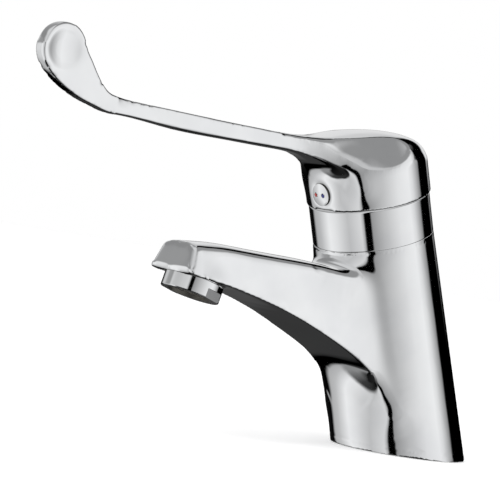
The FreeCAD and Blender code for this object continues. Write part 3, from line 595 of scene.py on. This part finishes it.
def makeAeratorCollar():
    look = aeratorCollar
    edge, outer, top, neck = look["edge"], look["radius"], look["height"], look["neck"]
    bore, lip = look["bore"], look["lip"]
    profile = [(look["lipInner"], 0), (outer - edge, 0), (outer, edge), (outer, 2 * edge),
               (outer, top - 2 * edge), (outer, top - edge), (outer - edge, top), (neck, top),
               (neck, look["neckTop"]), (bore, look["neckTop"]), (bore, lip),
               (look["lipInner"], lip)]
    collar = roughObject(meshFrom(spun(profile, look["steps"]), "collar"))
    blocks = flatBlocks(look)
    cut = collar.modifiers.new("flats", "BOOLEAN")
    cut.operation, cut.solver, cut.object = "DIFFERENCE", "EXACT", blocks
    mesh = shapedMesh(collar)
    bpy.data.objects.remove(blocks)
    # painted shade: the upright faces inside the bore get the dark finish in place of the shade
    # inside the recess
    paintedShadeFaces = [face.index for face in mesh.polygons
              if hypot(face.center.x, face.center.y) < look["paintedShadeInside"]
              and abs(face.normal.z) < look["paintedShadeFacing"]]
    mesh.transform(aeratorMatrix())
    paintShadeOnFaces(finishPiece(mesh, "polished_aerator_collar", "aerator_housing", "chrome",
                            look["sharpAngle"]), paintedShadeFaces)


# heights above the collar's lower face; the middle sags by this much
wovenScreen = dict(rim=0.0094, edge=0.0004, edgeRise=0.3, under=0.00155, sag=0.00035,
                   top=0.00205, rings=6, steps=96, sharpAngle=40)


def makeWovenScreen():
    # a thin disc that bellies down a little, with a rounded rim
    look = wovenScreen
    rim, edge, under, rings = look["rim"], look["edge"], look["under"], look["rings"]
    sagged = [(rim * k / rings, under - look["sag"] * (1 - (k / rings) ** 2))
              for k in range(rings + 1)]
    profile = sagged + [(rim + edge, under + look["edgeRise"] * edge),
                        (rim + edge, look["top"]), (0, look["top"])]
    bm = spun(profile, look["steps"], closed=False)
    bmesh.ops.transform(bm, matrix=aeratorMatrix(), verts=bm.verts)
    finishPiece(meshFrom(bm, "screen"), "woven_screen", "aerator_screen", "wovenSteel",
                look["sharpAngle"])


indexButton = dict(sharpAngle=32, paintedShadeFacing=0.6)


def makeIndexButton():
    # the CAD's button, with painted shade: its side wall is painted dark where the seat around
    # it would shade it
    mesh = meshFrom(mergedSolid("index_button"), "button")
    button = finishPiece(mesh, "polished_index_button", "index_button", "chrome",
                         indexButton["sharpAngle"])
    paintShadeOnFaces(button, [face.index for face in mesh.polygons
                         if abs(face.normal.dot(axisAcross)) < indexButton["paintedShadeFacing"]])


for solid in skins:
    polishedSkin(solid)
makeTrimRing()
makeAeratorCollar()
makeWovenScreen()
makeIndexButton()
print("chromed pieces made")

cadFinishes = {
    "chrome": ["body_with_spout", "lever", "trim_ring", "aerator_housing", "index_button"],
    "brass": ["cartridge_nut", "spindle", "wax_element", "shuttle", "regulating_nut"],
    "steel": ["return_spring", "hot_check_valve_spring", "cold_check_valve_spring",
              "lever_screw", "aerator_screen"],
    "rubber": ["base_seal", "cartridge_housing_seal", "inlet_seals", "spindle_seal",
               "aerator_gasket"],
    "ceramic": ["fixed_ceramic_disc", "moving_ceramic_disc"],
    "greyPlastic": ["cartridge_housing", "cartridge_plate", "disc_carrier"],
    "whitePlastic": ["aerator_cage", "hot_filter", "cold_filter", "hot_check_valve_housing",
                     "cold_check_valve_housing", "hot_check_valve_poppet",
                     "cold_check_valve_poppet"],
    "redPlastic": ["temperature_stop"],
    "hotEnamel": ["hot_index_dot"],
    "coldEnamel": ["cold_index_dot"],
}
for finishName, members in cadFinishes.items():
    for member in members:
        nodes[member].data.materials.clear()
        nodes[member].data.materials.append(finish[finishName])
print("every solid has its finish")

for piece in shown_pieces():
    piece.visible_glossy = False  # no piece of the real one shows mirrored in another


# camera: angles in degrees, lengths in metres, and the focal length in the picture's pixels
cameraLook = dict(turn=48.5, rise=1.0, roll=9.1, away=1.1556, aim=Vector((0.0, -0.1090, 0.0851)),
                  focalPixels=2680.8, pictureWidth=500, sensor=36, nearest=0.05, farthest=20)


def awayFrom(turn, rise):
    # from the object towards a camera or lamp
    turn, rise = radians(turn), radians(rise)
    return Vector((sin(turn) * cos(rise), -cos(turn) * cos(rise), sin(rise)))


def makeCamera():
    look = cameraLook
    data = bpy.data.cameras.new("photoCamera")
    data.lens = look["focalPixels"] * look["sensor"] / look["pictureWidth"]
    data.sensor_width = look["sensor"]
    data.clip_start, data.clip_end = look["nearest"], look["farthest"]
    camera = bpy.data.objects.new("photoCamera", data)
    bpy.context.collection.objects.link(camera)
    back = awayFrom(look["turn"], look["rise"])
    camera.location = look["aim"] + look["away"] * back
    aim = (-back).to_track_quat("-Z", "Y").to_matrix().to_4x4()
    roll = Matrix.Rotation(radians(look["roll"]), 4, "Z")
    camera.matrix_world = Matrix.Translation(camera.location) @ aim @ roll
    bpy.context.scene.camera = camera


# what the polished metal sees: greys by the turn to the right of the photo's side, in degrees
around = {
    "floor": [(-180, 0.0), (20, 0.02), (50, 0.2), (90, 0.2), (130, 0.02), (180, 0.0)],
    "deep": [(-180, 0.0), (-158, 0.0), (-148, 0.05), (-142, 0.3), (-120, 0.3), (-80, 0.05),
             (-20, 0.0), (0, 0.1), (30, 0.35), (90, 0.35), (110, 0.1), (180, 0.0)],
    "under": [(-180, 0.04), (-170, 0.04), (-165, 0.0), (-145, 0.0), (-137, 0.5), (-122, 0.6),
              (-108, 0.8), (-95, 1.0), (-78, 0.9), (-45, 0.62), (-16, 0.8), (-10, 0.45),
              (-8, 0.0), (4.5, 0.0), (6.5, 0.35), (30, 0.6), (60, 0.8), (83, 0.9), (100, 0.5),
              (110, 0.3), (113, 0.0), (170, 0.0), (175, 0.04)],
    "low": [(-180, 0.1), (-176, 0.05), (-172, 0.01), (-145, 0.0), (-137, 0.5), (-122, 0.6),
            (-108, 0.75), (-95, 1.0), (-78, 0.9), (-45, 0.62), (-16, 0.8), (-10, 0.45),
            (-8, 0.0), (4.5, 0.0), (6.5, 0.35), (30, 0.6), (60, 0.9), (83, 1.0), (92, 0.85),
            (100, 0.6), (110, 0.3), (113, 0.0), (172, 0.0), (180, 0.1)],
    "middle": [(-180, 0.8), (-150, 0.7), (-125, 0.62), (-112, 0.38), (-95, 0.34), (-87, 0.7),
               (-45, 0.62), (-16, 0.8), (-10, 0.45), (-8, 0.0), (4.5, 0.0), (6.5, 0.35),
               (30, 0.6), (60, 0.9), (83, 1.0), (92, 0.85), (100, 0.6), (110, 0.3),
               (113, 0.0), (147, 0.0), (151, 0.8), (180, 0.8)],
    "high": [(-180, 0.7), (-172, 0.6), (-164, 0.5), (-150, 0.36), (-125, 0.3), (-90, 0.3),
             (-70, 0.5), (-40, 0.7), (0, 0.7), (40, 0.6), (60, 0.9), (84, 0.95), (100, 0.7),
             (108, 0.1), (112, 0.0), (171, 0.0), (176, 0.6), (180, 0.7)],
    "roof": [(-180, 0.6), (-165, 0.6), (-150, 0.34), (-125, 0.34), (-90, 0.75), (0, 0.75),
             (20, 0.45), (35, 0.33), (145, 0.33), (149, 0.0), (173, 0.0), (178, 0.55),
             (180, 0.6)],
}
# from which height to which each band takes over from the one below, in degrees
bandEdges = [("deep", -64, -58), ("under", -52, -46), ("low", -22, -16), ("middle", 3, 10),
             ("high", 18, 23), ("roof", 36, 50)]
studioLight = dict(fill=0.8, lampWatts=4.6, lampSize=0.9, lampTurn=15, lampRise=62,
                   lampAway=1.2)


def makeWorld():
    world = bpy.data.worlds.new("studio")
    bpy.context.scene.world = world
    world.cycles.sampling_method = "NONE"  # the metal's own rays find the studio
    tree = nodeTree(world)
    place = tree.nodes.new("ShaderNodeTexCoord").outputs["Generated"]
    turned = tree.nodes.new("ShaderNodeTexGradient")
    turned.gradient_type = "RADIAL"
    tree.links.new(turnedAboutZ(tree, place, 90 - cameraLook["turn"]), turned.inputs["Vector"])
    bands = {name: greyRamp(tree, turned.outputs["Fac"], [(a / 360 + 0.5, g) for a, g in stops])
             for name, stops in around.items()}
    parts = tree.nodes.new("ShaderNodeSeparateXYZ")
    tree.links.new(place, parts.inputs["Vector"])
    studio = bands["floor"]
    for name, low, high in bandEdges:
        share = mapRange(tree, parts.outputs["Z"], sin(radians(low)), sin(radians(high)), 0, 1,
                         True)
        studio = mixColours(tree, share, studio, bands[name])
    path = tree.nodes.new("ShaderNodeLightPath")
    lit = mixColours(tree, path.outputs["Is Glossy Ray"], (studioLight["fill"],) * 3, studio)
    seen = higherOf(tree, path.outputs["Is Camera Ray"], path.outputs["Is Transmission Ray"])
    background = addNode(tree, "ShaderNodeBackground", Strength=1.0)
    tree.links.new(mixColours(tree, seen, lit, (1, 1, 1)), background.inputs["Color"])
    showSurface(tree, background.outputs["Background"], "ShaderNodeOutputWorld")


# lift is added for the camera alone, so that the floor meets the white background
floorLook = dict(radius=3.0, segments=64, pale=(0.985, 0.985, 0.985),
                 shade=(0.975, 0.975, 0.978), cloud=9, lift=0.24, roughness=0.5)


def makeFloor():
    look = floorLook
    bm = bmesh.new()
    bmesh.ops.create_circle(bm, cap_ends=True, radius=look["radius"], segments=look["segments"])
    bmesh.ops.translate(bm, verts=bm.verts, vec=(0, 0, cadBox[0][2]))
    floor = bpy.data.objects.new("floor", meshFrom(bm, "floor"))
    bpy.context.collection.objects.link(floor)
    material = bpy.data.materials.new("paleTable")
    tree = nodeTree(material)
    place = tree.nodes.new("ShaderNodeTexCoord").outputs["Object"]
    plain = addNode(tree, "ShaderNodeBsdfDiffuse", Roughness=look["roughness"])
    tree.links.new(mixColours(tree, noise(tree, place, look["cloud"]), look["pale"],
                              look["shade"]), plain.inputs["Color"])
    lift = addNode(tree, "ShaderNodeEmission", Strength=look["lift"])
    lifted = tree.nodes.new("ShaderNodeAddShader")
    tree.links.new(plain.outputs["BSDF"], lifted.inputs[0])
    tree.links.new(lift.outputs["Emission"], lifted.inputs[1])
    path = tree.nodes.new("ShaderNodeLightPath")
    shown = tree.nodes.new("ShaderNodeMixShader")
    tree.links.new(path.outputs["Is Camera Ray"], shown.inputs["Fac"])
    tree.links.new(plain.outputs["BSDF"], shown.inputs[1])
    tree.links.new(lifted.outputs["Shader"], shown.inputs[2])
    showSurface(tree, shown.outputs["Shader"])
    floor.data.materials.append(material)
    floor.visible_glossy = False  # the metal sees the studio's dark table instead


def makeLamp():
    data = bpy.data.lights.new("softBox", "AREA")
    data.energy = studioLight["lampWatts"]
    data.size = studioLight["lampSize"]
    lamp = bpy.data.objects.new("softBox", data)
    bpy.context.collection.objects.link(lamp)
    towards = awayFrom(studioLight["lampTurn"], studioLight["lampRise"])
    lamp.location = cameraLook["aim"] + studioLight["lampAway"] * towards
    lamp.rotation_euler = (-towards).to_track_quat("-Z", "Y").to_euler()
    lamp.visible_glossy = False


makeCamera()
makeWorld()
makeFloor()
makeLamp()
bpy.context.scene.view_settings.view_transform = "Standard"
print("studio made")
